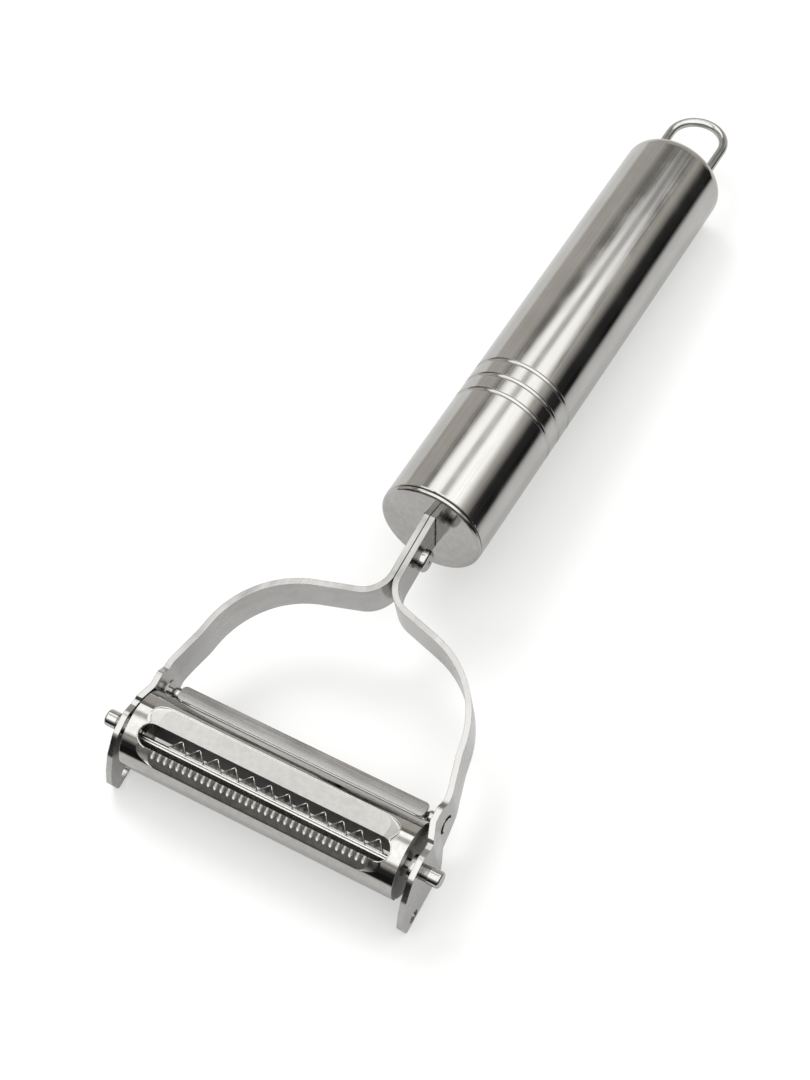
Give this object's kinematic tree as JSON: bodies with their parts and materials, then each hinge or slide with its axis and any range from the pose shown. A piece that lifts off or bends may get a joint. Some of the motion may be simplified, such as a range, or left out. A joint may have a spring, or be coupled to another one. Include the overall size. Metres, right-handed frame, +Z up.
{
  "type": "vegetable peeler",
  "caption": "Steel swivel peeler with a round tube handle and hanging loop, a bowed fork and a turning drum blade that holds a toothed shredding blade.",
  "frame": {"origin": "centre of the bottom of the peeler's box as it lies on a table on its two feet and the rear edge of its handle", "axes": "+X along the blade axis to the right seen from the blade, +Y from the blade toward the hanging loop, +Z up"},
  "size_m": [0.0724, 0.1962, 0.0307],
  "materials": {
    "handle_steel": "satin, brushed lengthwise",
    "cap_steel": "polished face",
    "loop_wire": "drawn wire, polished",
    "strip_steel": "satin faces, bright sheared edges",
    "rivet_steel": "polished",
    "washer_steel": "polished",
    "pin_steel": "polished",
    "collar_steel": "polished",
    "pivot_steel": "polished",
    "shell_steel": "mirror polished, pressed flats",
    "blade_steel": "polished, sheared tooth edges",
    "bar_steel": "satin"
  },
  "bodies": {
    "handle_and_fork": {"handle_tube": "handle_steel", "front_cap": "cap_steel", "hanging_loop": "loop_wire", "arm_left": "strip_steel", "arm_right": "strip_steel", "fork_rivet": "rivet_steel", "fork_rivet_washer": "washer_steel", "drum_pin_left": "pin_steel", "drum_pin_right": "pin_steel", "drum_washer_left": "washer_steel", "drum_washer_right": "washer_steel", "pin_collar_left": "collar_steel", "pin_collar_right": "collar_steel", "rear_pivot_left": "pivot_steel", "rear_pivot_right": "pivot_steel"},
    "swivel_shell": {"blade_shell": "shell_steel"},
    "toothed_blade": {"inner_blade": "blade_steel"},
    "guard_bar": {"rear_bar": "bar_steel"}
  },
  "joints": [
    {"name": "shell_swivel", "type": "hinge", "parent": "handle_and_fork", "child": "swivel_shell", "pos_m": [0, -0.08942, 0.0128], "axis": [1, 0, 0], "range_deg": [-60, 60]},
    {"name": "tooth_setting", "type": "hinge", "parent": "swivel_shell", "child": "toothed_blade", "pos_m": [0, -0.08942, 0.0128], "axis": [1, 0, 0], "range_deg": [-45, 10]},
    {"name": "bar_swing", "type": "hinge", "parent": "handle_and_fork", "child": "guard_bar", "pos_m": [0, -0.07827, 0.01069], "axis": [1, 0, 0], "range_deg": [-60, 0]}
  ]
}
